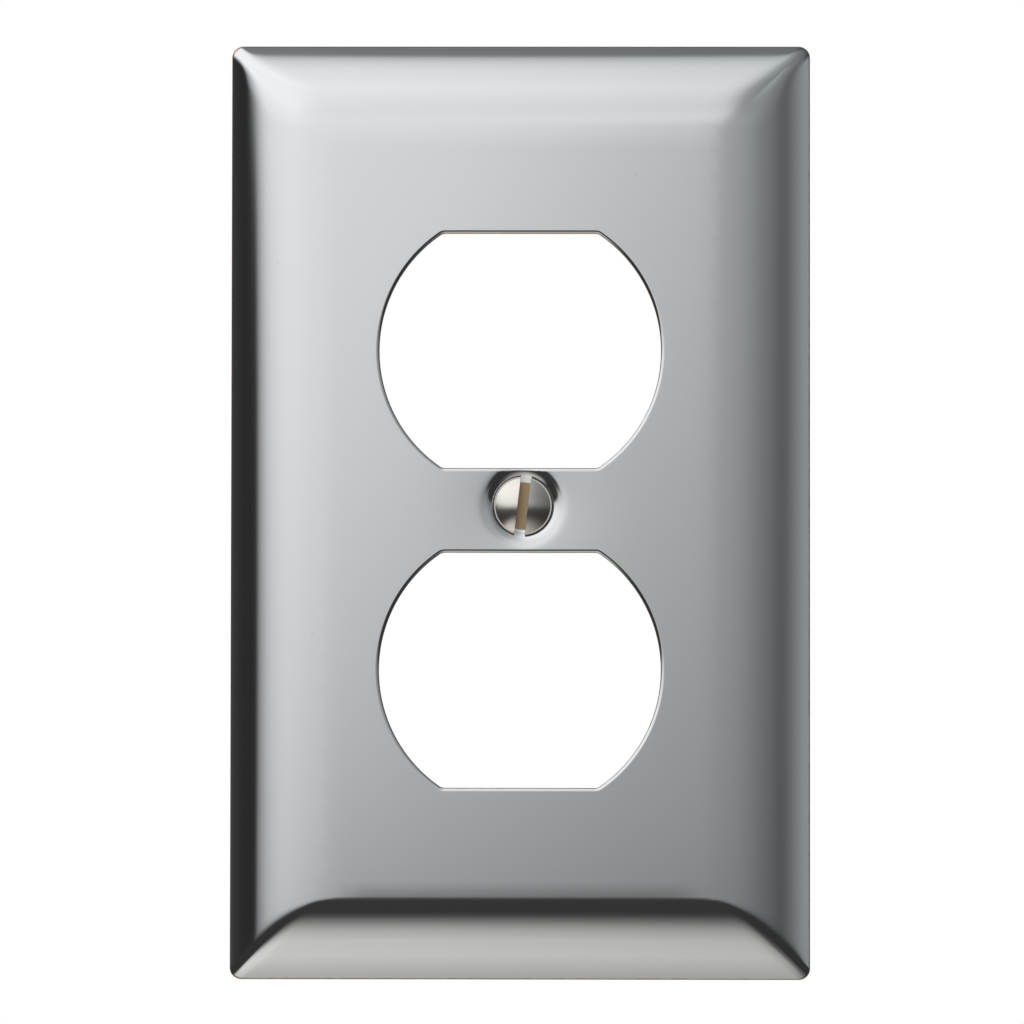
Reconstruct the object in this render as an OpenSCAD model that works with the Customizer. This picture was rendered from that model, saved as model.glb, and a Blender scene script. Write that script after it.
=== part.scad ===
// Cover plate for a duplex receptacle: a pressed and plated sheet cover, the slotted
// oval-head screw that holds it to the receptacle, and the thin washer behind the sheet
// that keeps the screw captive.
//
// Millimetres, real size. +Z points up the wall and the face looks along -Y. The wall is
// the plane y = 0, and the origin is where the screw's axis meets the wall.

/* [Plate] */
// Width across the rim
plate_w = 70.9; // [68:0.1:74]
// Height across the rim
plate_h = 114.3; // [111:0.1:118]
// Depth from the wall to the flat of the face
plate_depth = 5.6; // [5.2:0.1:6.5]
// Thickness of the sheet
sheet = 0.9; // [0.7:0.05:1.0]
// Width of the rolled flank between the flat of the face and the rim
flank_w = 10.2; // [9:0.1:12]
// Corner radius of the rim, seen from the front
corner_r = 1.4; // [0.8:0.1:2]

/* [Openings] */
// Diameter of the two receptacle openings
opening_d = 34.3; // [33.5:0.1:35]
// Height of each opening between its flats
opening_flats = 28.6; // [28:0.1:29]
// Distance between the two openings' centres
opening_pitch = 38.9; // [38.5:0.1:39.3]
// Fillet where a flat meets the round of an opening
opening_fillet = 1; // [0.5:0.1:2]

/* [Screw hole] */
// How far right of the plate's middle the hole is
hole_off_x = 0.35; // [-0.5:0.05:0.5]
// How far above the plate's middle the hole is
hole_off_z = 0.55; // [-0.6:0.05:0.6]
// Diameter of the hole at the bottom of the dimple
hole_d = 4.4; // [4.1:0.1:4.6]
// Diameter at which the countersink's cone would meet the face
dimple_d = 7.5; // [7.3:0.1:7.9]
// Radius that blends the face into the countersink
dimple_blend = 2.2; // [1.5:0.1:2.4]
// Height of the dimple's nose above the wall
nose_h = 2.8; // [2.4:0.1:3]

/* [Screw] */
// Largest diameter of the oval head
head_d = 7.1; // [6.8:0.1:7.2]
// Full angle of the countersunk head and of the dimple
head_angle = 82; // [80:1:84]
// Height of the dome above the head's widest ring
dome_h = 1.05; // [0.8:0.05:1.2]
// Width of the flat ring outside the dome
head_ring = 0.2; // [0.1:0.05:0.3]
// Thickness of the head's widest ring
head_land = 0.12; // [0.08:0.02:0.2]
// Length from the head's widest ring to the tip
screw_len = 12.7; // [11:0.1:16]
// Outside diameter of the thread
thread_d = 3.505; // [3.4:0.005:3.6]
// Diameter of the plain neck under the head
neck_d = 2.8; // [2.6:0.1:2.9]
// Height above the wall at which the thread starts
thread_start = 0.5; // [0.3:0.1:0.6]
// Width of the screwdriver slot
slot_w = 1.25; // [1:0.05:1.4]
// Depth of the slot, from the top of the dome
slot_depth = 2; // [1.6:0.1:2.2]
// Lean of the slot from upright, clockwise
slot_lean = 6.5; // [0:0.5:180]

/* [Captive washer] */
// Outside diameter of the washer
washer_d = 7.9; // [7:0.1:8.2]
// Thickness of the washer
washer_t = 0.8; // [0.6:0.1:0.9]
// Clearance between the washer's hole and the neck, all round
washer_gap = 0.05; // [0.03:0.01:0.1]

/* [Hidden] */
$fn = 96;
over = 1;                 // how far a cutting shape runs past the solid it cuts
seat_gap = 0.12;          // gap under the seated head, along the screw
tip_chamfer = 0.6;        // height of the chamfer on the screw's tip
tip_d = 2.5;              // diameter of the screw's tip
roll_r = (flank_w * flank_w + plate_depth * plate_depth) / (2 * plate_depth);
cone_slope = 1 / tan(head_angle / 2);       // fall of the cone for each mm towards its axis
cone_lean = 90 - head_angle / 2;            // angle between the face and the cone
hole_r = hole_d / 2;

// The dimple's section: where the blend leaves the flat and where it meets the cone
blend_tangent = dimple_blend * tan(cone_lean / 2);
blend_r = dimple_d / 2 + blend_tangent;
blend_base = plate_depth - dimple_blend;
cone_start = [blend_r - dimple_blend * sin(cone_lean), blend_base + dimple_blend * cos(cone_lean)];
cone_tip_h = plate_depth - dimple_d / 2 * cone_slope;
back_r = dimple_blend - sheet;
back_start = [blend_r - back_r * sin(cone_lean), blend_base + back_r * cos(cone_lean)];
nose_r = back_start[0] - (back_start[1] - nose_h) / cone_slope;

// The screw, as heights above the wall
ring_h = plate_depth - (dimple_d - head_d) / 2 * cone_slope + seat_gap;
neck_top = ring_h - head_land - (head_d - neck_d) / 2 * cone_slope;
dome_base_r = head_d / 2 - head_ring;
dome_r = (dome_base_r * dome_base_r + dome_h * dome_h) / (2 * dome_h);
tip_h = ring_h - screw_len;

// Turns a shape that was drawn with +Z as its height above the wall to stand on the wall
module from_wall() rotate([90, 0, 0]) children();

// Section across the plate between its two rims: flat in the middle, rolled at both sides
module rolled_section(across, inset) {
    flat = across / 2 - flank_w;
    intersection() {
        translate([-across / 2, inset > 0 ? -over : 0]) square([across, plate_depth + over]);
        union() {
            translate([-flat, -over]) square([2 * flat, plate_depth + over - inset]);
            for (side = [-1, 1])
                translate([side * flat, plate_depth - roll_r]) circle(r = roll_r - inset);
        }
    }
}

// Everything behind the pressed sheet's outer surface, or its inner one at inset = sheet
module pressed_form(inset) {
    mirror([0, 1, 0])
        intersection() {
            linear_extrude(plate_h + 2 * over, center = true) rolled_section(plate_w, inset);
            rotate([0, -90, 0])
                linear_extrude(plate_w + 2 * over, center = true) rolled_section(plate_h, inset);
        }
}

// Outline of the rim with its rounded corners
module rim_outline() {
    square([plate_w - 2 * corner_r, plate_h], center = true);
    square([plate_w, plate_h - 2 * corner_r], center = true);
    for (x = [-1, 1], z = [-1, 1])
        translate([x * (plate_w / 2 - corner_r), z * (plate_h / 2 - corner_r)]) circle(r = corner_r);
}

// Outline of one receptacle opening: a circle cut by two flats, with filleted corners
module opening_outline() {
    r = opening_d / 2;
    half = opening_flats / 2;
    fillet_z = half - opening_fillet;
    fillet_x = sqrt(pow(r - opening_fillet, 2) - pow(fillet_z, 2));
    round_z = fillet_z * r / (r - opening_fillet);
    intersection() {
        circle(r = r);
        square([opening_d, 2 * round_z], center = true);
    }
    square([2 * fillet_x, opening_flats], center = true);
    for (x = [-1, 1], z = [-1, 1])
        translate([x * fillet_x, z * fillet_z]) circle(r = opening_fillet);
}

// Solid that the countersink is pressed from, as wide as its blend
module dimple_body() {
    rotate_extrude()
        difference() {
            polygon([
                [0, nose_h], [nose_r, nose_h], back_start, [blend_r, blend_base],
                [blend_r, plate_depth], [0, plate_depth]
            ]);
            translate([blend_r, blend_base]) circle(r = back_r);
        }
}

// Space in front of the countersink
module dimple_space() {
    rotate_extrude()
        difference() {
            polygon([
                [0, cone_tip_h], cone_start, [blend_r, blend_base],
                [blend_r, plate_depth + over], [0, plate_depth + over]
            ]);
            translate([blend_r, blend_base]) circle(r = dimple_blend);
        }
}

module wall_plate() {
    color([0.78, 0.79, 0.80])
        difference() {
            union() {
                translate([-hole_off_x, 0, -hole_off_z])
                    difference() {
                        intersection() {
                            pressed_form(0);
                            from_wall() linear_extrude(plate_depth) rim_outline();
                        }
                        pressed_form(sheet);
                    }
                from_wall() dimple_body();
            }
            from_wall() dimple_space();
            from_wall() cylinder(r = hole_r, h = plate_depth);
            for (side = [-1, 1])
                translate([-hole_off_x, over, -hole_off_z + side * opening_pitch / 2])
                    from_wall() linear_extrude(plate_depth + 2 * over) opening_outline();
        }
}

// Half of the screw's section from its tip to the top of its dome, with the axis at x = 0
module screw_section() {
    head_r = head_d / 2;
    neck_r = neck_d / 2;
    thread_r = thread_d / 2;
    polygon([
        [0, tip_h], [tip_d / 2, tip_h], [thread_r, tip_h + tip_chamfer], [thread_r, thread_start],
        [neck_r, thread_start], [neck_r, neck_top], [head_r, ring_h - head_land], [head_r, ring_h],
        [0, ring_h]
    ]);
    intersection() {
        translate([0, ring_h + dome_h - dome_r]) circle(r = dome_r);
        translate([0, ring_h - head_land]) square([dome_base_r, dome_h + head_land + over]);
    }
}

module plate_screw() {
    color([0.72, 0.70, 0.66])
        from_wall()
            difference() {
                rotate_extrude() screw_section();
                rotate([0, 0, -slot_lean])
                    translate([-slot_w / 2, -head_d, ring_h + dome_h - slot_depth])
                        cube([slot_w, 2 * head_d, slot_depth + over]);
            }
}

module captive_washer() {
    color([0.45, 0.27, 0.20])
        from_wall()
            translate([0, 0, thread_start])
                difference() {
                    cylinder(d = washer_d, h = washer_t);
                    translate([0, 0, -over])
                        cylinder(d = neck_d + 2 * washer_gap, h = washer_t + 2 * over);
                }
}

wall_plate();
plate_screw();
captive_washer();
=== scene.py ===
import math
import bpy
import numpy as np
from mathutils import Matrix, Vector
from mathutils.geometry import delaunay_2d_cdt


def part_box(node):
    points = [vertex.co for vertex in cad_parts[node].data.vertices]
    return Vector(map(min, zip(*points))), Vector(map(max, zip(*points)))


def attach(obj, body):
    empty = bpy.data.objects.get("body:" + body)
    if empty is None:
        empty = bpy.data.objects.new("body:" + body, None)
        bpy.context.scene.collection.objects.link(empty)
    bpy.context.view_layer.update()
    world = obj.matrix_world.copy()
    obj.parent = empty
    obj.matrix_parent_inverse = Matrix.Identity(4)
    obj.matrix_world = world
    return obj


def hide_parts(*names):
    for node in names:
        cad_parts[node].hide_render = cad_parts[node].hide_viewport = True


# Looks of a duplex receptacle's cover plate: the pressed and plated sheet, its slotted
# oval-head screw and the fibre washer behind the sheet, in soft studio light.
#
# The shapes are drawn in millimetres. The sheet's are drawn round the plate's middle and
# the screw's and washer's round the screw's axis: x to the right, z up, and a height above
# the wall. The face looks along -Y, so a height h lies at y = -h.

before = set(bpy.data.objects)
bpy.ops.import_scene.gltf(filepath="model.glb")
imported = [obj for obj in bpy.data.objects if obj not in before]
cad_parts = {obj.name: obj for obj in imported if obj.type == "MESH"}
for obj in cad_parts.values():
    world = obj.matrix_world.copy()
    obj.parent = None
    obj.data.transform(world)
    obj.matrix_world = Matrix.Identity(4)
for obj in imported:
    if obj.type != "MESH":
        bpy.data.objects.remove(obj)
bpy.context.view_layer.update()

MM = 0.001

# ---------------------------------------------------------------- sizes, in millimetres

plate_low, plate_high = (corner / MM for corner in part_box("wall_plate"))
screw_low, screw_high = (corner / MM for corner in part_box("plate_screw"))
washer_low, washer_high = (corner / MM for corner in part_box("captive_washer"))

# The sheet
half_w = (plate_high.x - plate_low.x) / 2
half_h = (plate_high.z - plate_low.z) / 2
middle = (plate_high + plate_low) / 2
depth = -plate_low.y
sheet = 0.9
flank_w = 10.2
corner_r = 1.4
roll_r = (flank_w ** 2 + depth ** 2) / (2 * depth)
side_bow = 0.5             # how much wider the side flanks are at half height
side_start = 2.3           # how softly the side flanks leave the face
top_start = 1.2            # how softly the top flank leaves it
bottom_start = 0.5         # how softly the bottom flank leaves it
top_mitre = 2.4            # how crisp the two upper mitres are beside the face
bottom_mitre = 7.0         # and the two lower ones
rim_mitre = 17.0           # how crisp all four are at the rim
mitre_far = 2.5            # how far out on the flank the mitres start to turn crisp
mitre_round = 8.0          # how far out they start to take the rim's corner radius
upper_z = 20.0             # above this height the plate is like its upper end
crown = 0.12               # how far the face falls from its middle to its sides and ends
crown_x = 25.0             # half the width over which it falls so far
crown_z = 47.0             # half the height over which it does
rim_break = 0.05           # broken edge along the rim

# The openings
opening_r = 34.3 / 2
opening_half = 28.6 / 2
opening_step = 38.9 / 2
opening_fillet = 1.0
fillet_z = opening_half - opening_fillet
fillet_x = math.sqrt((opening_r - opening_fillet) ** 2 - fillet_z ** 2)
lip_w = 0.42               # width of the drawn-in lip that the punch leaves
lip_depth = 0.24

# The screw's dimple
dimple_x = -middle.x
dimple_z = -middle.z
hole_r = 2.2
dimple_r = 3.75
dimple_blend = 2.2
nose_h = 2.8
half_angle = math.radians(41)
cone_slope = 1 / math.tan(half_angle)
cone_lean = math.pi / 2 - half_angle
blend_r = dimple_r + dimple_blend * math.tan(cone_lean / 2)
cone_r = blend_r - dimple_blend * math.sin(cone_lean)
back_blend = dimple_blend - sheet
back_cone_r = blend_r - back_blend * math.sin(cone_lean)
dimple_start = 0.9         # how softly the dimple leaves the face
dimple_fade = 1.6          # width over which that soft start fades out on the face
sag_r = 7.0                # reach of the shallow sag that the dimple pulls into the bridge
sag_depth = 0.10

# The screw
head_r = (screw_high.x - screw_low.x) / 2
head_ring = 0.2
head_land = 0.12
dome_base_r = head_r - head_ring
dome_rise = 1.05
dome_r = (dome_base_r ** 2 + dome_rise ** 2) / (2 * dome_rise)
slot_half = 1.25 / 2
slot_break = 0.03          # broken edge along the slot
slot_depth = 2.0
slot_lean = math.radians(6.5)
dome_top = -screw_low.y + dome_r - math.sqrt(dome_r ** 2 - slot_half ** 2)
ring_h = dome_top - dome_rise
slot_floor = dome_top - slot_depth
neck_r = 1.4
neck_top = ring_h - head_land - (head_r - neck_r) * cone_slope
tip_h = -screw_high.y
tip_r = 1.25
tip_chamfer = 0.6
thread_r = 3.505 / 2
thread_pitch = 25.4 / 32
thread_root_r = thread_r - 0.6134 * thread_pitch
thread_crest = 0.0625      # half the flat crest's width, as a share of the pitch
thread_foot = 0.4165       # from the crest's middle to the foot of its flank
thread_run_out = 0.35      # length over which the thread dies away at the neck
thread_top = -washer_high.y

# The washer
washer_r = (washer_high.x - washer_low.x) / 2
washer_hole_r = neck_r + 0.05
washer_bottom = -washer_high.y
washer_top = -washer_low.y
washer_break = 0.08        # rounding of the washer's edges


# ---------------------------------------------------------------- building a mesh

class Blank:
    """A mesh in the making. Points at one place are one point. Each face's corner may say
    which way the metal faces there; one that doesn't is left to the mesh."""

    def __init__(self):
        self.found = {}
        self.points = []
        self.bare_and_shade = []
        self.faces = []
        self.facings = []

    def point(self, place, bare_and_shade=0.0):
        key = tuple(round(float(c) * 10000) for c in place)
        if key not in self.found:
            self.found[key] = len(self.points)
            self.points.append([float(c) for c in place])
            self.bare_and_shade.append(bare_and_shade)
        index = self.found[key]
        self.bare_and_shade[index] = max(self.bare_and_shade[index], bare_and_shade)
        return index

    def face(self, corners, facings=None):
        """One face through point numbers. Corners that fell together count once."""
        kept = []
        for at, corner in enumerate(corners):
            if corner not in [corners[k] for k in kept]:
                kept.append(at)
        if len(kept) < 3:
            return
        self.faces.append([corners[at] for at in kept])
        self.facings.append([tuple(facings[at]) if facings is not None else (0, 0, 0) for at in kept])

    def strip(self, first, second, first_facing=None, second_facing=None, closed=True):
        """Quads between two rows of points that run the same way."""
        count = len(first)
        for at in range(count if closed else count - 1):
            after = (at + 1) % count
            facings = None
            if first_facing is not None:
                facings = [first_facing[at], first_facing[after], second_facing[after], second_facing[at]]
            self.face([first[at], first[after], second[after], second[at]], facings)

    def finish(self, name, smooth_angle=None):
        """Makes the object, in metres in the part's own frame."""
        mesh = bpy.data.meshes.new(name)
        mesh.from_pydata([[c * MM for c in p] for p in self.points], [], self.faces)
        mesh.attributes.new("bare_and_shade", "FLOAT", "POINT").data.foreach_set("value", self.bare_and_shade)
        mesh.shade_smooth()
        if smooth_angle is None:
            mesh.normals_split_custom_set([facing for corners in self.facings for facing in corners])
        else:
            mesh.set_sharp_from_angle(angle=smooth_angle)
        mesh.update()
        piece = bpy.data.objects.new(name, mesh)
        bpy.context.scene.collection.objects.link(piece)
        return piece


def on_plate(x, z, h):
    """A place in the part's frame for one given round the plate's middle."""
    return (x + middle.x, -h, z + middle.z)


def facing_of(height, x, z, step=0.004):
    """Which way a surface given by its height above the wall faces."""
    along_x = (height(x + step, z) - height(x - step, z)) / (2 * step)
    along_z = (height(x, z + step) - height(x, z - step)) / (2 * step)
    facing = np.stack([-along_x, -np.ones_like(along_x), -along_z], axis=-1)
    return facing / np.linalg.norm(facing, axis=-1, keepdims=True)


# ---------------------------------------------------------------- the pressed sheet's form

def eased(over, width):
    """Nothing well inside the face, the whole of over on a flank, and a soft start between."""
    reach = (over + np.sqrt(over * over + width * width)) / 2
    whole = (flank_w + np.sqrt(flank_w ** 2 + width * width)) / 2
    return reach * flank_w / whole


def gently(value, low, high):
    """A share that rises softly from 0 at low to 1 at high."""
    share = np.clip((value - low) / (high - low), 0, 1)
    return share * share * (3 - 2 * share)


def upper_share(z):
    """How far a height on the plate belongs to its upper end."""
    return gently(z, -upper_z, upper_z)


def mitre_blend(over_side, over_end, z):
    """How much further the sheet has rolled down along a mitre than beside it. The upper
    mitres are soft and the lower ones crisp, and all end as round as the rim's corners."""
    larger = np.maximum(over_side, over_end)
    smaller = np.minimum(over_side, over_end)
    start = bottom_mitre + (top_mitre - bottom_mitre) * upper_share(z)
    power = start * (rim_mitre / start) ** gently(larger, mitre_far, flank_w)
    share = smaller / np.maximum(larger, 0.001)
    soft = larger * ((1 + share ** power) ** (1 / power) - 1)
    radius = np.minimum(larger, corner_r)
    inside = np.minimum(larger - smaller, radius)
    rounded = radius - np.sqrt(2 * radius ** 2 - inside ** 2) / 2 - inside / 2
    return soft + (rounded - soft) * gently(larger, mitre_round, flank_w)


def flank_drop(x, z):
    """How far the sheet has rolled down from the top of the face."""
    flat_w = half_w - flank_w - side_bow * (0.5 - (z / half_h) ** 2)
    over_side = eased((np.abs(x) - flat_w) * flank_w / (half_w - flat_w), side_start)
    end_start = bottom_start + (top_start - bottom_start) * upper_share(z)
    over_end = eased(np.abs(z) - (half_h - flank_w), end_start)
    over = np.maximum(over_side, over_end) + mitre_blend(over_side, over_end, z)
    over = np.minimum(over, flank_w)
    rolled = roll_r - np.sqrt(roll_r ** 2 - over ** 2)
    fall = np.minimum(crown * ((x / crown_x) ** 2 + (z / crown_z) ** 2), depth)
    return rolled * (1 - fall / depth) + fall


def face_height(x, z):
    """The sheet's outer surface before it is punched."""
    from_screw = np.hypot(x - dimple_x, z - dimple_z)
    sag = sag_depth * np.exp(-(from_screw / sag_r) ** 2)
    sag = sag * np.clip((from_screw - cone_r) / (blend_r - cone_r), 0, 1)
    return depth - flank_drop(x, z) - sag


def dimple_inset(from_screw, whole):
    """How far inside the dimple's blend a place is, with a soft start."""
    inset = blend_r - from_screw
    reach = (inset + np.sqrt(inset * inset + dimple_start ** 2)) / 2
    reach = reach * np.clip((blend_r + dimple_fade - from_screw) / dimple_fade, 0, 1)
    return np.minimum(reach, whole)


def front_dimple(from_screw):
    """Depth of the dimple below the face, at a distance from the screw's axis."""
    inset = dimple_inset(from_screw, dimple_blend * math.sin(cone_lean))
    blend = dimple_blend - np.sqrt(dimple_blend ** 2 - inset ** 2)
    return blend + np.maximum(cone_r - from_screw, 0) * cone_slope


def back_dimple(from_screw):
    """The same behind the sheet, where the cone ends in a flat nose."""
    inset = dimple_inset(from_screw, back_blend * math.sin(cone_lean))
    blend = back_blend - np.sqrt(back_blend ** 2 - inset ** 2)
    cone = blend + np.maximum(back_cone_r - from_screw, 0) * cone_slope
    return np.minimum(cone, depth - sheet - nose_h)


def opening_gap(x, z):
    """Distance from the nearer opening's outline, positive on the metal."""
    across = np.abs(x)
    along = np.abs(np.abs(z) - opening_step)
    on_flat = along - opening_half
    on_fillet = np.hypot(across - fillet_x, along - fillet_z) - opening_fillet
    on_round = np.hypot(across, along) - opening_r
    past_flat = across > fillet_x
    past_fillet = (across - fillet_x) * fillet_z > (along - fillet_z) * fillet_x
    return np.where(past_flat, np.where(past_fillet, on_round, on_fillet), on_flat)


def lip_drop(x, z):
    """The lip drawn in round each opening by the punch."""
    share = np.clip(1 - opening_gap(x, z) / lip_w, 0, 0.97)
    return lip_depth * (1 - np.sqrt(1 - share ** 2))


def front_height(x, z):
    from_screw = np.hypot(x - dimple_x, z - dimple_z)
    return face_height(x, z) - front_dimple(from_screw) - lip_drop(x, z)


def back_height(x, z):
    from_screw = np.hypot(x - dimple_x, z - dimple_z)
    return face_height(x, z) - sheet - back_dimple(from_screw)


def back_places(x, z):
    """Places on the back of the sheet, a sheet's thickness behind those on its front."""
    facing = facing_of(face_height, x, z)
    from_screw = np.hypot(x - dimple_x, z - dimple_z)
    h = face_height(x, z) + sheet * facing[..., 1] - back_dimple(from_screw)
    return x - sheet * facing[..., 0], z - sheet * facing[..., 2], h


# ---------------------------------------------------------------- the plate's outlines

end_steps = 26             # points along each of the plate's two ends
side_steps = 48            # and along each of its two long sides
corner_steps = 14
circle_steps = 72
sharp_r = 0.2              # smallest corner radius of a ring on the flanks
soft_ring_r = 3.0          # largest radius of the rings' upper corners, on the soft mitres
crisp_ring_r = 1.2         # and of their lower corners
ring_round = 6.5           # how far out the rings start to take the rim's corner radius


def ring_outline(half_x, half_z, top_r, bottom_r):
    """Points round a rectangle with rounded corners, the same number on every ring. They
    lie closer together towards the corners."""
    places = []
    for turn, (across, along, steps) in enumerate(
        [(1, 1, end_steps), (-1, 1, side_steps), (-1, -1, end_steps), (1, -1, side_steps)]
    ):
        radius = top_r if along > 0 else bottom_r
        centre_x = across * (half_x - radius)
        centre_z = along * (half_z - radius)
        for step in range(corner_steps):
            angle = math.pi / 2 * (turn + step / corner_steps)
            places.append((centre_x + radius * math.cos(angle), centre_z + radius * math.sin(angle)))
        angle = math.pi / 2 * (turn + 1)
        start_x = centre_x + radius * math.cos(angle)
        start_z = centre_z + radius * math.sin(angle)
        run = (2 * (half_x - radius), 2 * half_z - top_r - bottom_r)[turn % 2]
        for step in range(steps):
            moved = run * (1 - math.cos(math.pi * step / steps)) / 2
            places.append((start_x - moved * math.sin(angle), start_z + moved * math.cos(angle)))
    return np.array(places)


def opening_outline(gap, side):
    """Points round one opening, a given distance outside its edge."""
    spacing = 0.45
    fillet_spacing_r = 1.4
    turn = math.atan2(fillet_z, fillet_x)
    places = []

    def add_arc(centre_x, centre_z, radius, start, end):
        spacing_r = opening_r if radius > opening_r - 1 else fillet_spacing_r
        steps = max(3, round(abs(end - start) * spacing_r / spacing))
        for step in range(steps):
            angle = start + (end - start) * step / steps
            places.append((centre_x + radius * math.cos(angle), centre_z + radius * math.sin(angle)))

    def add_flat(start_x, end_x, flat_z):
        steps = round(2 * fillet_x / spacing)
        for step in range(steps):
            places.append((start_x + (end_x - start_x) * step / steps, flat_z))

    small = opening_fillet + gap
    add_arc(0, 0, opening_r + gap, -turn, turn)
    add_arc(fillet_x, fillet_z, small, turn, math.pi / 2)
    add_flat(fillet_x, -fillet_x, opening_half + gap)
    add_arc(-fillet_x, fillet_z, small, math.pi / 2, math.pi - turn)
    add_arc(0, 0, opening_r + gap, math.pi - turn, math.pi + turn)
    add_arc(-fillet_x, -fillet_z, small, math.pi + turn, 1.5 * math.pi)
    add_flat(-fillet_x, fillet_x, -opening_half - gap)
    add_arc(fillet_x, -fillet_z, small, 1.5 * math.pi, 2 * math.pi - turn)
    return np.array(places) + (0, side * opening_step)


def circle_outline(radius):
    """Points round the screw's axis."""
    angles = np.arange(circle_steps) * 2 * math.pi / circle_steps
    return np.stack([dimple_x + radius * np.cos(angles), dimple_z + radius * np.sin(angles)], axis=-1)


# ---------------------------------------------------------------- the plate's mesh

flank_rings = 34
lip_gaps = [0, 0.02, 0.06, 0.11, 0.17, 0.24, 0.32, 0.42]
dimple_radii = [
    hole_r, 2.5, 2.8, cone_r, 3.3, 3.5, 3.7, 3.9, 4.1, 4.3, 4.5, 4.65,
    blend_r, 4.9, 5.1, 5.35, 5.6, 5.9, 6.35, 6.9,
]
grid_spacing = 1.9
edge_wear_w = 0.13         # width of the worn line along every cut edge


def layout_face():
    """Points and triangles of the flat of the face, with its holes left open."""
    places = []
    edges = []

    def add_row(row, closed):
        start = len(places)
        places.extend(map(tuple, row))
        count = len(row)
        for at in range(count if closed else count - 1):
            edges.append((start + at, start + (at + 1) % count))

    border = ring_outline(half_w - flank_w, half_h - flank_w, sharp_r, sharp_r)
    add_row(border, True)
    for side in (-1, 1):
        for gap in lip_gaps:
            add_row(opening_outline(gap, side), True)
    for radius in dimple_radii:
        ring = circle_outline(radius)
        clear = opening_gap(ring[:, 0], ring[:, 1]) > lip_w + 0.08
        if clear.all():
            add_row(ring, True)
            continue
        run_start = np.nonzero(~clear & np.roll(clear, -1))[0][0] + 1
        run = []
        for place, is_clear in zip(np.roll(ring, -run_start, axis=0), np.roll(clear, -run_start)):
            if is_clear:
                run.append(place)
            elif run:
                add_row(run, False)
                run = []
        if run:
            add_row(run, False)
    flat_x = half_w - flank_w
    flat_z = half_h - flank_w
    across = np.arange(-flat_x + grid_spacing, flat_x - grid_spacing / 2, grid_spacing)
    along = np.arange(-flat_z + grid_spacing, flat_z - grid_spacing / 2, grid_spacing)
    for row, z in enumerate(along):
        for x in across + (row % 2 - 0.5) * grid_spacing / 2:
            off_screw = math.hypot(x - dimple_x, z - dimple_z)
            if opening_gap(x, z) > lip_w + 0.4 and off_screw > dimple_radii[-1] + 0.5:
                places.append((x, z))
    made = delaunay_2d_cdt([Vector(p) for p in places], edges, [], 0, 1e-6)
    points = np.array([places[sources[0]] if sources else tuple(p) for p, sources in zip(made[0], made[3])])
    triangles = np.array(made[2])
    centres = points[triangles].mean(axis=1)
    kept = opening_gap(centres[:, 0], centres[:, 1]) > 0
    off_screw = np.hypot(centres[:, 0] - dimple_x, centres[:, 1] - dimple_z)
    kept &= off_screw > hole_r * math.cos(math.pi / circle_steps)
    return points, triangles[kept]


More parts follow.
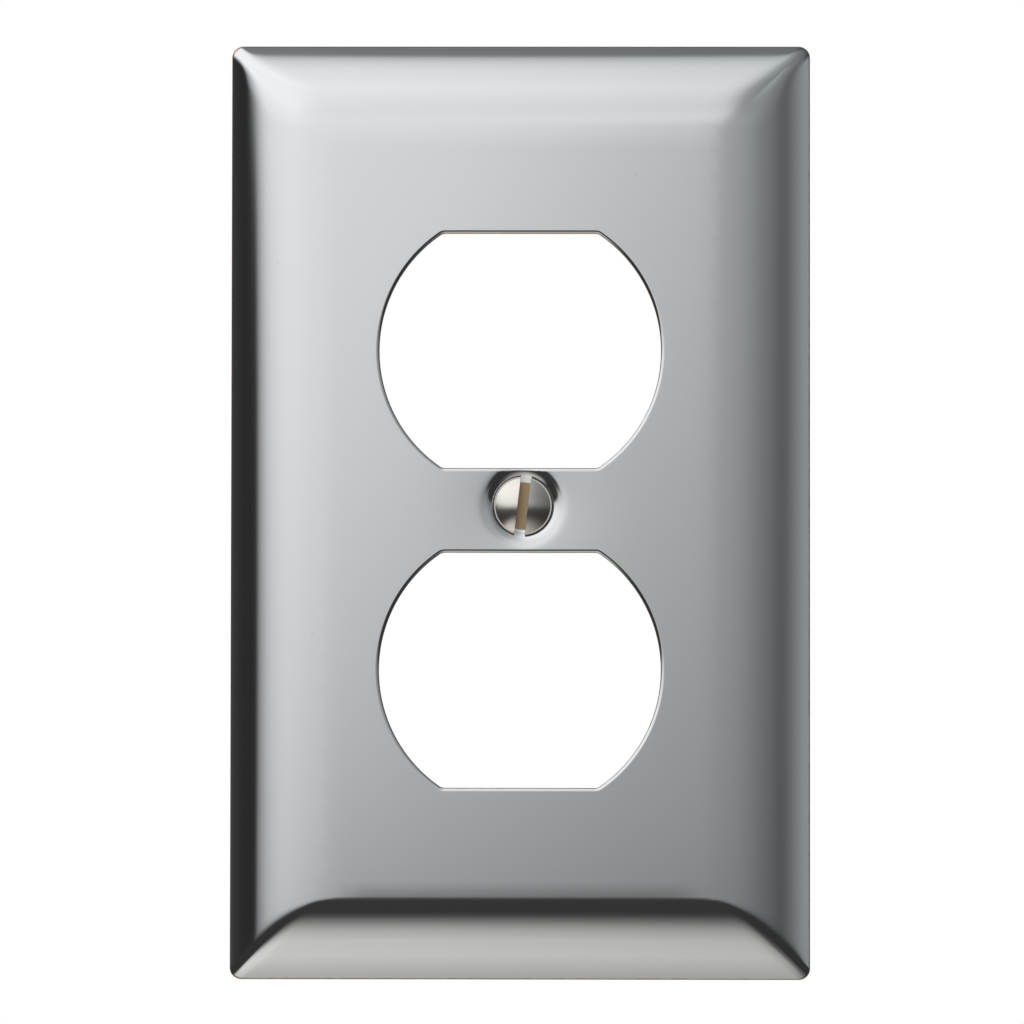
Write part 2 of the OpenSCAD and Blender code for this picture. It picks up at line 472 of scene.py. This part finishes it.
def make_plate():
    """The sheet: its face and flanks front and back, its rim, and the walls of its holes."""
    blank = Blank()
    wallward = (0, 1, 0)

    def add_places(x, z, h, bare_and_shade=0.0):
        return [blank.point(on_plate(*p), bare_and_shade) for p in zip(x, z, h)]

    # The face, front and back
    points, triangles = layout_face()
    x, z = points.T
    wear_and_shade = np.clip(1.3 - opening_gap(x, z) / edge_wear_w, 0, 1)
    front = [
        blank.point(on_plate(*p), bare_and_shade)
        for p, bare_and_shade in zip(zip(x, z, front_height(x, z)), wear_and_shade)
    ]
    back = add_places(*back_places(x, z))
    front_facing = facing_of(front_height, x, z)
    back_facing = -facing_of(back_height, x, z)
    for a, b, c in triangles:
        blank.face([front[k] for k in (a, b, c)], [front_facing[k] for k in (a, b, c)])
        blank.face([back[k] for k in (a, c, b)], [back_facing[k] for k in (a, c, b)])

    # The rolled flanks, front and back, out to the rim
    def ring_at(over):
        """One ring of places, a distance outside the flat of the face."""
        at_rim = float(gently(over, ring_round, flank_w))
        top_r = max(sharp_r, min(over, soft_ring_r) * (1 - at_rim) + corner_r * at_rim)
        bottom_r = max(sharp_r, min(over, crisp_ring_r) * (1 - at_rim) + corner_r * at_rim)
        return ring_outline(half_w - flank_w + over, half_h - flank_w + over, top_r, bottom_r).T

    # The back of the sheet meets the wall inside the rim
    back_over = math.sqrt(roll_r ** 2 - (roll_r - depth) ** 2 * (roll_r / (roll_r - sheet)) ** 2)
    overs = [flank_w * k / flank_rings for k in range(flank_rings + 1)]
    overs = [over for over in overs if over < back_over - 0.1] + [back_over, flank_w - 0.1]
    last_front = None
    last_back = None
    for over in overs:
        ring_x, ring_z = ring_at(over)
        facing = facing_of(face_height, ring_x, ring_z)
        worn_rim = 0.8 if over > back_over else 0.0
        ring = add_places(ring_x, ring_z, face_height(ring_x, ring_z), worn_rim)
        if last_front:
            blank.strip(ring, last_front[0], facing, last_front[1])
        last_front = (ring, facing)
        if over > back_over:
            continue
        back_x, back_z, back_h = back_places(ring_x, ring_z)
        if over == back_over:
            back_h = back_h * 0
        ring = add_places(back_x, back_z, back_h)
        if last_back:
            blank.strip(last_back[0], ring, -last_back[1], -facing)
        last_back = (ring, facing)

    # The rim: a broken edge, then the flat that lies on the wall
    edge_x, edge_z = ring_at(flank_w - 0.02)
    edge = add_places(edge_x, edge_z, edge_x * 0 + rim_break, 1.0)
    blank.strip(edge, last_front[0], last_front[1], last_front[1])
    foot_x, foot_z = ring_at(flank_w - rim_break)
    foot = add_places(foot_x, foot_z, foot_x * 0, 1.0)
    blank.strip(foot, edge)
    wall_side = [wallward] * len(foot)
    blank.strip(last_back[0], foot, wall_side, wall_side)

    # The punched walls of the openings and of the screw's hole
    def add_wall(outline):
        wall_x, wall_z = outline.T
        top = add_places(wall_x, wall_z, front_height(wall_x, wall_z), 1.0)
        bottom = add_places(*back_places(wall_x, wall_z), 1.0)
        ahead = np.roll(outline, -1, axis=0) - np.roll(outline, 1, axis=0)
        inward = np.stack([-ahead[:, 1], ahead[:, 0] * 0, ahead[:, 0]], axis=-1)
        inward = inward / np.linalg.norm(inward, axis=-1, keepdims=True)
        blank.strip(top, bottom, inward, inward)

    for side in (-1, 1):
        add_wall(opening_outline(0, side))
    add_wall(circle_outline(hole_r))
    return blank.finish("wall_plate_sheet")


# ---------------------------------------------------------------- the screw

half_steps = 36
dome_steps = 18
cone_steps = 4


def on_axis(u, v, h):
    """A place for one given across and along the slot."""
    x = u * math.cos(slot_lean) + v * math.sin(slot_lean)
    z = v * math.cos(slot_lean) - u * math.sin(slot_lean)
    return (x, -h, z)


def dome_height(r):
    return dome_top - dome_r + math.sqrt(dome_r ** 2 - r ** 2)


def head_section():
    """The head's section from the slot's lip to the slot's floor, each point with the
    direction in which its edge is broken at the slot."""
    lip = slot_half + slot_break
    section = []
    for step in range(dome_steps + 1):
        r = lip + (dome_base_r - lip) * step / dome_steps
        section.append((r, dome_height(r), -r / dome_r, -math.sqrt(1 - (r / dome_r) ** 2)))
    section.append((dome_base_r + 0.02, ring_h, 0, -1))
    section.append((head_r - 0.04, ring_h, -0.4, -0.9))
    section.append((head_r, ring_h - 0.04, -1, 0))
    section.append((head_r, ring_h - head_land, -1, 0))
    floor_r = head_r - (ring_h - head_land - slot_floor) / cone_slope
    for step in range(cone_steps):
        share = (step + 1) / cone_steps
        r = head_r + (floor_r - head_r) * share
        section.append((r, ring_h - head_land + (slot_floor - ring_h + head_land) * share, -1, 0))
    return section, floor_r


def make_screw():
    """The screw: two head halves beside the slot, the cone and neck, and the thread."""
    blank = Blank()
    section, floor_r = head_section()
    floor_rings = {}

    # The head's two halves, each with the slot's wall
    for side in (1, -1):
        rows = []
        for r, h, in_r, in_h in section:
            on_floor = h < slot_floor + 1e-6
            first = math.asin(min(1, (slot_half + slot_break) / r))
            row = []
            for step in range(half_steps + 1):
                angle = first + (math.pi - 2 * first) * step / half_steps
                row.append((r * math.sin(angle), r * math.cos(angle), h))
            broken = 0 if on_floor else slot_break
            wall_v = math.sqrt(r ** 2 - slot_half ** 2) if on_floor else abs(row[0][1]) + in_r * broken
            wall_v = max(wall_v, 0)
            row.insert(0, (slot_half, wall_v, h + in_h * broken))
            row.append((slot_half, -wall_v, h + in_h * broken))
            rows.append([blank.point(on_axis(side * u, v, h)) for u, v, h in row])
        for first_row, second_row in zip(rows, rows[1:]):
            if side > 0:
                blank.strip(first_row, second_row, closed=False)
            else:
                blank.strip(second_row, first_row, closed=False)
        wall = [row[0] for row in reversed(rows)] + [row[-1] for row in rows]
        wall = list(dict.fromkeys(wall))
        blank.face(wall[::-1] if side > 0 else wall)
        floor_rings[side] = rows[-1]

    # The slot's floor, open to the cone at both ends
    half_mouth = math.asin(slot_half / floor_r)

    def mouth(centre):
        """Points across one end of the slot's floor."""
        angles = (centre - half_mouth / 2, centre, centre + half_mouth / 2)
        return [
            blank.point(on_axis(floor_r * math.sin(angle), floor_r * math.cos(angle), slot_floor), 1.0)
            for angle in angles
        ]

    ring = floor_rings[1] + mouth(math.pi) + floor_rings[-1][::-1] + mouth(0)
    lower_end = [floor_rings[1][-1]] + mouth(math.pi) + [floor_rings[-1][-1]]
    upper_end = [floor_rings[-1][0]] + mouth(0) + [floor_rings[1][0]]
    floor = (lower_end + upper_end)[::-1]
    # The slot's floor is marked to take the screw's darker tan all over.
    for index in floor:
        blank.bare_and_shade[index] = 1.0
    blank.face(floor)

    # The cone below the slot's floor and the neck
    def turned(r, h):
        """The same ring at another radius and height."""
        made = []
        for index in ring:
            x, _, z = blank.points[index]
            scale = r / math.hypot(x, z)
            made.append(blank.point((x * scale, -h, z * scale)))
        return made

    rows = [ring]
    for r, h in [
        (neck_r + 0.06, neck_top + 0.06 * cone_slope),
        (neck_r, neck_top - 0.05),
        (neck_r, thread_top + 0.9),
        (neck_r, thread_top - 0.1),
    ]:
        rows.append(turned(r, h))
    for first_row, second_row in zip(rows, rows[1:]):
        blank.strip(first_row, second_row)
    blank.face(rows[-1])

    add_thread(blank)
    return blank.finish("plate_screw_turned", math.radians(32))


def thread_radius(h, turn):
    """The thread's radius at a height and a share of a turn."""
    phase = ((h - tip_h) / thread_pitch - turn) % 1
    off_crest = min(phase, 1 - phase)
    share = min(max((off_crest - thread_crest) / (thread_foot - thread_crest), 0), 1)
    radius = thread_r + (thread_root_r - thread_r) * share
    chamfer_r = tip_r + (thread_r - tip_r) * min((h - tip_h) / tip_chamfer, 1)
    run_out = min(max(1 - (thread_top - h) / thread_run_out, 0), 1)
    run_out_r = thread_root_r + (neck_r + 0.12 - thread_root_r) * run_out
    return max(min(radius, chamfer_r), min(run_out_r, chamfer_r))


def add_thread(blank):
    """A right-hand thread whose rows of points follow the helix, with painted shade marked in its roots."""
    steps = 56
    turns = math.ceil((thread_top - tip_h) / thread_pitch)
    rows = []
    for turn in range(-2, turns + 1):
        for share in (thread_crest, 0.24, thread_foot, 1 - thread_foot, 0.76, 1 - thread_crest):
            row = []
            for step in range(steps + 1):
                h = tip_h + thread_pitch * (turn + share + step / steps)
                h = min(max(h, tip_h), thread_top)
                r = thread_radius(h, step / steps)
                angle = 2 * math.pi * step / steps
                # Painted shade: the deeper a point lies in the thread's roots, the more it is marked for
                # the screw's darker tan.
                depth_share = (thread_r - r) / (thread_r - thread_root_r)
                place = (r * math.cos(angle), -h, r * math.sin(angle))
                row.append(blank.point(place, 0.6 * max(depth_share, 0)))
            rows.append(row)
    for first_row, second_row in zip(rows, rows[1:]):
        blank.strip(first_row, second_row, closed=False)
    blank.face(rows[0][:-1][::-1])
    blank.face(rows[-1][:-1])


# ---------------------------------------------------------------- the washer

def make_washer():
    """The washer, turned from a rounded section."""
    blank = Blank()
    steps = 96
    quarter_steps = 4
    section = []
    for centre_r, centre_h, start in [
        (washer_r - washer_break, washer_top - washer_break, 90),
        (washer_r - washer_break, washer_bottom + washer_break, 0),
        (washer_hole_r + washer_break / 2, washer_bottom + washer_break / 2, 270),
        (washer_hole_r + washer_break / 2, washer_top - washer_break / 2, 180),
    ]:
        radius = washer_break if centre_r > washer_r / 2 else washer_break / 2
        for step in range(quarter_steps + 1):
            angle = math.radians(start - 90 * step / quarter_steps)
            section.append((centre_r + radius * math.cos(angle), centre_h + radius * math.sin(angle)))
        if start == 90:
            section.append((washer_r, (washer_top + washer_bottom) / 2))
    rows = []
    for r, h in section:
        rows.append([
            blank.point((r * math.cos(a), -h, r * math.sin(a)))
            for a in (2 * math.pi * step / steps for step in range(steps))
        ])
    for first_row, second_row in zip(rows, rows[1:] + rows[:1]):
        blank.strip(second_row, first_row)
    return blank.finish("captive_washer_fibre", math.radians(40))


# ---------------------------------------------------------------- shader helpers

def node(tree, kind, links=None, **settings):
    """A node with its settings; links gives its inputs a value or another node's output."""
    made = tree.nodes.new(kind)
    for name, value in settings.items():
        setattr(made, name, value)
    for name, value in (links or {}).items():
        socket = made.inputs[name]
        if isinstance(value, bpy.types.NodeSocket):
            tree.links.new(value, socket)
        else:
            socket.default_value = value
    return made


def maths(tree, operation, first, second=0.0):
    return node(tree, "ShaderNodeMath", {0: first, 1: second}, operation=operation).outputs[0]


def between(tree, value, low, high, out_low=0.0, out_high=1.0, soft=True):
    """Carries value from one range to another, and holds it at the ends."""
    made = node(
        tree, "ShaderNodeMapRange",
        {"Value": value, "From Min": low, "From Max": high, "To Min": out_low, "To Max": out_high},
        interpolation_type="SMOOTHSTEP" if soft else "LINEAR",
    )
    return made.outputs["Result"]


def blended(tree, share, first, second):
    mix = node(tree, "ShaderNodeMix", {0: share, 2: first, 3: second}, data_type="FLOAT")
    return mix.outputs[0]


def tinted(tree, share, first, second):
    mix = node(tree, "ShaderNodeMix", {0: share, 6: first, 7: second}, data_type="RGBA")
    return mix.outputs[2]


def ramp(tree, value, stops):
    """Greys along a scale of degrees or lengths. Each stop is a place and a grey in percent."""
    low = stops[0][0]
    high = stops[-1][0]
    share = between(tree, value, low, high, soft=False)
    made = node(tree, "ShaderNodeValToRGB", {"Fac": share})
    elements = made.color_ramp.elements
    while len(elements) < len(stops):
        elements.new(0.5)
    for element, (place, _) in zip(elements, stops):
        element.position = (place - low) / (high - low)
    for element, (_, grey) in zip(elements, stops):
        element.color = (grey / 100, grey / 100, grey / 100, 1)
    return made.outputs["Color"]


# ---------------------------------------------------------------- the studio

chrome_grey = 0.6          # how much light the chrome gives back
horizon = -2.0             # degrees below level at which the far edge of the table shows


def light_studio():
    """A large soft box at the upper left, a dim room on the right, a dark flag beside the
    plate on the left, and a pale table below that ends in the dark in front."""
    world = bpy.data.worlds.new("studio")
    world.use_nodes = True
    bpy.context.scene.world = world
    tree = world.node_tree
    tree.nodes.clear()
    way = node(tree, "ShaderNodeTexCoord").outputs["Generated"]
    split = node(tree, "ShaderNodeSeparateXYZ", {0: way})
    x, y, z = split.outputs
    ahead = maths(tree, "MULTIPLY", y, -1.0)

    def degrees(value):
        return maths(tree, "DEGREES", value)

    side = degrees(maths(tree, "ARCTAN2", x, ahead))
    aside = maths(tree, "ABSOLUTE", side)
    rise = degrees(maths(tree, "ARCSINE", z))
    yaw = degrees(maths(tree, "ARCSINE", x))
    pitch = degrees(maths(tree, "ARCTAN2", z, ahead))

    # Near the level: the soft box's slanting edge crosses just in front of the plate, and
    # the flag's edge leans away with height
    slant = maths(tree, "MULTIPLY", maths(tree, "SUBTRACT", rise, 2.0), 0.42)
    slant = maths(tree, "MULTIPLY", slant, between(tree, side, 45.0, 20.0))
    lean = ramp(tree, rise, [(-2, 0), (1, 3), (3, 9), (4.4, 20), (5, 30), (5.4, 60), (6, 100)])
    lean = maths(tree, "MULTIPLY", lean, 16.0)
    on_left = between(tree, side, -30.0, -55.0)
    shift = blended(tree, on_left, maths(tree, "MULTIPLY", slant, -1.0), lean)
    level = ramp(tree, maths(tree, "ADD", side, shift), [
        (-180, 58), (-130, 50), (-106, 22), (-88, 18), (-75, 17), (-70.5, 19), (-68, 32), (-65.5, 50),
        (-62, 61), (-56, 73), (-50, 79), (-40, 84), (-30, 85), (-18, 84), (-6, 82), (-3, 79), (0, 70),
        (2.5, 63), (5, 59), (11, 57.5), (20, 55), (30, 51), (40, 46.5), (51, 42.5), (63, 36.5),
        (70, 36.5), (77, 40.5), (88, 48.5), (99, 54), (180, 60),
    ])
    rising = ramp(tree, rise, [
        (-5, 40), (-2, 42.5), (-0.5, 45), (1, 47.5), (3, 50), (5, 51.5), (9, 53),
    ])
    off_side = between(tree, aside, 75.0, 58.0)
    rising = blended(tree, off_side, 0.5, rising)
    level = maths(tree, "MULTIPLY", maths(tree, "MULTIPLY", level, rising), 2.0)

    # Higher up: bright on the left, falling off to the right, and dark behind the plate
    high = ramp(tree, yaw, [
        (-90, 92), (-50, 95), (-15, 93), (-5, 90), (0, 85), (5, 76),
        (15, 59), (30, 50), (45, 45), (60, 41), (90, 40),
    ])
    overhead = ramp(tree, pitch, [
        (0, 93), (23, 97), (50, 103), (75, 98), (84, 93), (90, 86),
        (94, 78), (98, 60), (101, 53), (110, 51), (180, 60),
    ])
    behind_left = between(tree, yaw, -25.0, -8.0)
    overhead = blended(tree, behind_left, 1.0, overhead)
    high = maths(tree, "MULTIPLY", high, overhead)
    upper = blended(tree, between(tree, rise, 6.0, 30.0), level, high)

    # The table: its grey fades towards its front edge and its right side
    down = maths(tree, "MAXIMUM", maths(tree, "MULTIPLY", z, -1.0), 0.02)
    table_ahead = maths(tree, "DIVIDE", ahead, down)
    table_side = maths(tree, "DIVIDE", x, down)
    table = ramp(tree, table_ahead, [
        (-6, 50), (-1.5, 58), (-0.3, 64), (0, 69), (0.3, 74), (0.75, 72),
        (1.2, 62), (1.8, 42), (2.4, 26), (3, 21), (6, 21),
    ])
    table_share = ramp(tree, table_side, [
        (-4, 0), (-1.3, 0), (-1.1, 20), (-0.85, 56), (-0.15, 57), (0, 49.5),
        (0.15, 41), (0.4, 36), (0.7, 22), (1.1, 9), (1.5, 0), (4, 0),
    ])
    table_share = maths(tree, "MULTIPLY", table_share, 2.0)
    table = maths(tree, "MULTIPLY", maths(tree, "SUBTRACT", table, 0.2), table_share)

    # Behind the plate the room is lighter, down to the table
    behind = maths(tree, "MULTIPLY", between(tree, aside, 96.0, 130.0), between(tree, rise, -62.0, -40.0))
    lower = maths(tree, "ADD", table, between(tree, behind, 0.0, 1.0, 0.2, 0.5))

    above = between(tree, rise, horizon - 3.0, horizon + 1.0)
    shown = blended(tree, above, lower, upper)
    radiance = maths(tree, "POWER", shown, 2.2)
    radiance = maths(tree, "DIVIDE", radiance, chrome_grey)
    cool = tinted(tree, between(tree, side, -10.0, 30.0), (0.985, 0.995, 1.01, 1), (0.94, 1.0, 1.01, 1))
    cool = tinted(tree, above, (1.0, 1.0, 0.98, 1), cool)
    colour = node(tree, "ShaderNodeVectorMath", {0: cool, "Scale": radiance}, operation="SCALE").outputs[0]

    studio = node(tree, "ShaderNodeBackground", {"Color": colour, "Strength": 1.0})
    paper = node(tree, "ShaderNodeBackground", {"Color": (1, 1, 1, 1), "Strength": 1.0})
    seen = node(tree, "ShaderNodeLightPath").outputs["Is Camera Ray"]
    both = node(tree, "ShaderNodeMixShader", {0: seen, 1: studio.outputs[0], 2: paper.outputs[0]})
    node(tree, "ShaderNodeOutputWorld", {"Surface": both.outputs[0]})


def lay_floor():
    """A plain pale floor a hand's breadth below the plate."""
    mesh = bpy.data.meshes.new("studio_floor")
    reach = 3.0
    low = -0.25
    corners = [(-reach, -reach, low), (reach, -reach, low), (reach, reach, low), (-reach, reach, low)]
    mesh.from_pydata(corners, [], [(0, 1, 2, 3)])
    floor = bpy.data.objects.new("studio_floor", mesh)
    bpy.context.scene.collection.objects.link(floor)
    material = bpy.data.materials.new("pale_floor")
    material.use_nodes = True
    shader = material.node_tree.nodes["Principled BSDF"]
    shader.inputs["Base Color"].default_value = (0.86, 0.86, 0.85, 1)
    shader.inputs["Roughness"].default_value = 0.9
    mesh.materials.append(material)
    floor.visible_glossy = False


def place_camera():
    """A long lens just below the plate's middle, almost square to its face."""
    distance = 0.9
    lift = math.radians(2.16)
    turn = math.radians(-0.60)
    tilt = math.radians(0.08)
    ahead = Vector((math.sin(turn) * math.cos(lift), math.cos(turn) * math.cos(lift), math.sin(lift)))
    right = ahead.cross(Vector((0, 0, 1))).normalized()
    up = right.cross(ahead)
    right_tilted = math.cos(tilt) * right + math.sin(tilt) * up
    up_tilted = math.cos(tilt) * up - math.sin(tilt) * right
    target = Vector((middle.x - 1.03, 0, middle.z)) * MM
    camera = bpy.data.objects.new("camera", bpy.data.cameras.new("camera"))
    camera.data.lens = 258.5
    camera.data.sensor_width = 36
    turned = Matrix((right_tilted, up_tilted, -ahead)).transposed().to_4x4()
    camera.matrix_world = Matrix.Translation(target - distance * ahead) @ turned
    bpy.context.scene.collection.objects.link(camera)
    bpy.context.scene.camera = camera


# ---------------------------------------------------------------- surface effects

def effect(name, inputs, outputs):
    """An empty shader group with named inputs and outputs."""
    tree = bpy.data.node_groups.new(name, "ShaderNodeTree")
    for label, start in inputs:
        kind = "NodeSocketVector" if label == "Place" else "NodeSocketFloat"
        socket = tree.interface.new_socket(label, in_out="INPUT", socket_type=kind)
        if kind == "NodeSocketFloat":
            socket.default_value = start
    for label in outputs:
        tree.interface.new_socket(label, in_out="OUTPUT", socket_type="NodeSocketFloat")
    return tree, node(tree, "NodeGroupInput").outputs, node(tree, "NodeGroupOutput").inputs


def noise(tree, place, scale, detail=2.0, stretch=(1, 1, 1)):
    moved = node(tree, "ShaderNodeMapping", {"Vector": place, "Scale": stretch})
    made = node(tree, "ShaderNodeTexNoise", {"Vector": moved.outputs[0], "Scale": scale, "Detail": detail})
    return made.outputs["Fac"]


def make_polish_effect():
    """Fine waviness and polishing grain that a plated sheet keeps."""
    tree, inlet, outlet = effect("polish_grain", [("Place", None), ("Grain", 1.0)], ["Height", "Haze"])
    waves = noise(tree, inlet["Place"], 60.0, 1.0)
    grain = noise(tree, inlet["Place"], 900.0, 3.0, (6, 6, 0.6))
    height = maths(tree, "ADD", maths(tree, "MULTIPLY", waves, 0.6), maths(tree, "MULTIPLY", grain, 0.05))
    tree.links.new(maths(tree, "MULTIPLY", height, inlet["Grain"]), outlet["Height"])
    tree.links.new(between(tree, noise(tree, inlet["Place"], 35.0, 4.0), 0.35, 0.75), outlet["Haze"])
    return tree


def make_marks_effect():
    """Faint wiping smears and a few fine specks left by handling."""
    tree, inlet, outlet = effect("handling_marks", [("Place", None)], ["Smear", "Speck"])
    smear = noise(tree, inlet["Place"], 45.0, 5.0, (1, 1, 0.35))
    tree.links.new(between(tree, smear, 0.52, 0.8), outlet["Smear"])
    cells = node(tree, "ShaderNodeTexVoronoi", {"Vector": inlet["Place"], "Scale": 260.0})
    tree.links.new(between(tree, cells.outputs["Distance"], 0.035, 0.02), outlet["Speck"])
    return tree


def make_wear_and_shade_effect():
    """Plating worn off along cut edges, and painted shade where the mesh marks it: a ragged edge round what
    is marked.
    """
    tree, inlet, outlet = effect("edge_wear_and_shade", [("Place", None), ("Bare", 0.0)], ["Mask"])
    ragged = noise(tree, inlet["Place"], 1400.0, 3.0)
    ragged = maths(tree, "MULTIPLY", maths(tree, "SUBTRACT", ragged, 0.5), 0.5)
    reach = maths(tree, "ADD", inlet["Bare"], ragged)
    tree.links.new(between(tree, reach, 0.45, 0.75), outlet["Mask"])
    return tree


polish_effect = make_polish_effect()
marks_effect = make_marks_effect()
wear_and_shade_effect = make_wear_and_shade_effect()


def finish_material(name):
    """A material's tree, its shader, and where its surface is."""
    material = bpy.data.materials.new(name)
    material.use_nodes = True
    tree = material.node_tree
    shader = tree.nodes["Principled BSDF"]
    place = node(tree, "ShaderNodeTexCoord").outputs["Object"]
    return material, tree, shader, place


def placed(tree, group, place, **values):
    """An effect set into a material with its own values."""
    return node(tree, "ShaderNodeGroup", {"Place": place, **values}, node_tree=group).outputs


def worn_edges_and_shade(tree, place):
    """Where the plating is worn through along edges, and where painted shade darkens the screw's thread
    roots, as the mesh marks them.
    """
    bare_and_shade = node(tree, "ShaderNodeAttribute", attribute_name="bare_and_shade").outputs["Fac"]
    return placed(tree, wear_and_shade_effect, place, Bare=bare_and_shade)["Mask"]


def dress(tree, shader, colour, rough, height, strength, distance):
    """Sends a finish's colour, roughness and fine height to its shader."""
    bump = node(tree, "ShaderNodeBump", {"Height": height, "Strength": strength, "Distance": distance})
    tree.links.new(colour, shader.inputs["Base Color"])
    tree.links.new(rough, shader.inputs["Roughness"])
    tree.links.new(bump.outputs[0], shader.inputs["Normal"])


def plated_sheet():
    material, tree, shader, place = finish_material("plated_sheet")
    polish = placed(tree, polish_effect, place, Grain=1.0)
    marks = placed(tree, marks_effect, place)
    wear_and_shade = worn_edges_and_shade(tree, place)
    haze = maths(tree, "MULTIPLY", polish["Haze"], 0.5)
    specks = maths(tree, "MULTIPLY", marks["Speck"], 0.3)
    chrome = tinted(tree, haze, (0.6, 0.602, 0.604, 1), (0.585, 0.588, 0.592, 1))
    chrome = tinted(tree, specks, chrome, (0.3, 0.29, 0.28, 1))
    colour = tinted(tree, wear_and_shade, chrome, (0.30, 0.22, 0.18, 1))
    rough = blended(tree, marks["Smear"], 0.08, 0.11)
    rough = blended(tree, wear_and_shade, rough, 0.42)
    dress(tree, shader, colour, rough, polish["Height"], 0.12, 0.00002)
    shader.inputs["Metallic"].default_value = 1.0
    return material


def nickel_screw():
    material, tree, shader, place = finish_material("nickel_screw")
    polish = placed(tree, polish_effect, place, Grain=1.0)
    marks = placed(tree, marks_effect, place)
    wear_and_shade = worn_edges_and_shade(tree, place)
    nickel = tinted(tree, polish["Haze"], (0.66, 0.63, 0.585, 1), (0.6, 0.57, 0.53, 1))
    # The screw's worn cut edges take this darker tan, and so do its slot's floor and, as painted shade, its
    # thread's roots.
    colour = tinted(tree, wear_and_shade, nickel, (0.52, 0.38, 0.22, 1))
    rough = blended(tree, marks["Smear"], 0.2, 0.27)
    rough = blended(tree, wear_and_shade, rough, 0.45)
    dress(tree, shader, colour, rough, polish["Height"], 0.25, 0.00003)
    shader.inputs["Metallic"].default_value = 1.0
    return material


def fibre_washer():
    material, tree, shader, place = finish_material("fibre_washer")
    fibres = noise(tree, place, 1500.0, 6.0, (1, 8, 1))
    patches = noise(tree, place, 400.0, 3.0)
    colour = tinted(tree, fibres, (0.30, 0.12, 0.075, 1), (0.42, 0.2, 0.13, 1))
    colour = tinted(tree, between(tree, patches, 0.5, 0.8, 0.0, 0.5), colour, (0.2, 0.09, 0.06, 1))
    rough = between(tree, fibres, 0.3, 0.7, 0.62, 0.8)
    dress(tree, shader, colour, rough, fibres, 0.5, 0.00003)
    return material


# ---------------------------------------------------------------- the scene

def stand_for(piece, cad_node, body, material):
    """Dresses a piece and puts it in the place of its CAD node."""
    piece.data.materials.append(material)
    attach(piece, body)
    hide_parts(cad_node)


bpy.context.scene.view_settings.view_transform = "Standard"
place_camera()
light_studio()
lay_floor()
stand_for(make_plate(), "wall_plate", "plate", plated_sheet())
stand_for(make_screw(), "plate_screw", "screw", nickel_screw())
stand_for(make_washer(), "captive_washer", "washer", fibre_washer())
